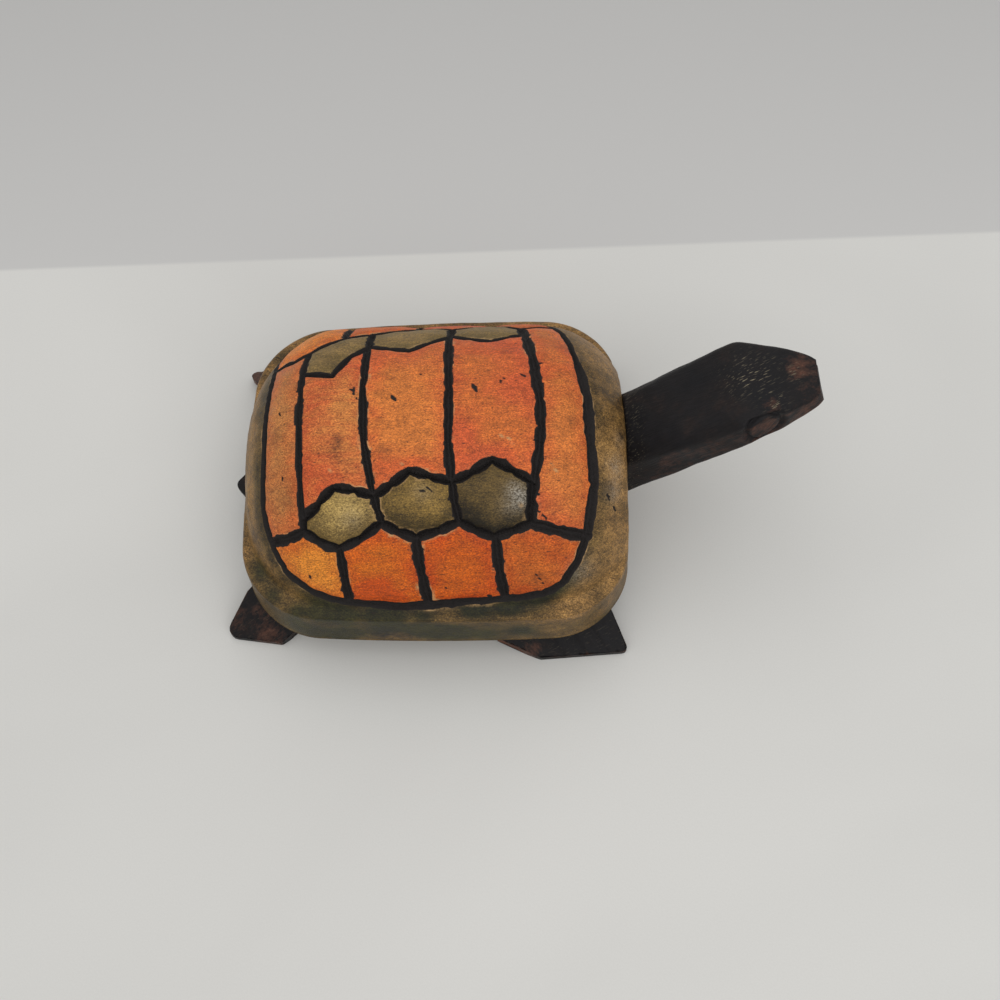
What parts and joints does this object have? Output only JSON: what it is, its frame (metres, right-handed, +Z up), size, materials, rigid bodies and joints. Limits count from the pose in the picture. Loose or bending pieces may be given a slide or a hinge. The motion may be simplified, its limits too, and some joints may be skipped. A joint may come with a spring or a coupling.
{
  "type": "turtle figurine",
  "caption": "Carved wooden turtle ornament with a barrel-backed shell of V-cut plates, a raised neck and head, flat splayed flippers and a small tail.",
  "frame": {"origin": "middle of the floor area that the figurine covers, on the floor", "axes": "+X the way the turtle looks, +Y its left, +Z up"},
  "size_m": [0.1924, 0.1201, 0.0788],
  "materials": {
    "stained_shell_wood": "satin",
    "dark_stained_wood": "satin",
    "dowel_wood": "matte"
  },
  "bodies": {
    "root": {"shell": "stained_shell_wood", "neck_and_head": "dark_stained_wood", "leg_front_right": "dark_stained_wood", "leg_front_left": "dark_stained_wood", "leg_rear_right": "dark_stained_wood", "leg_rear_left": "dark_stained_wood", "tail": "dark_stained_wood", "neck_dowel_right": "dowel_wood", "neck_dowel_left": "dowel_wood", "leg_front_right_dowel": "dowel_wood", "leg_front_left_dowel": "dowel_wood", "leg_rear_right_dowel": "dowel_wood", "leg_rear_left_dowel": "dowel_wood", "tail_dowel": "dowel_wood"}
  },
  "joints": []
}
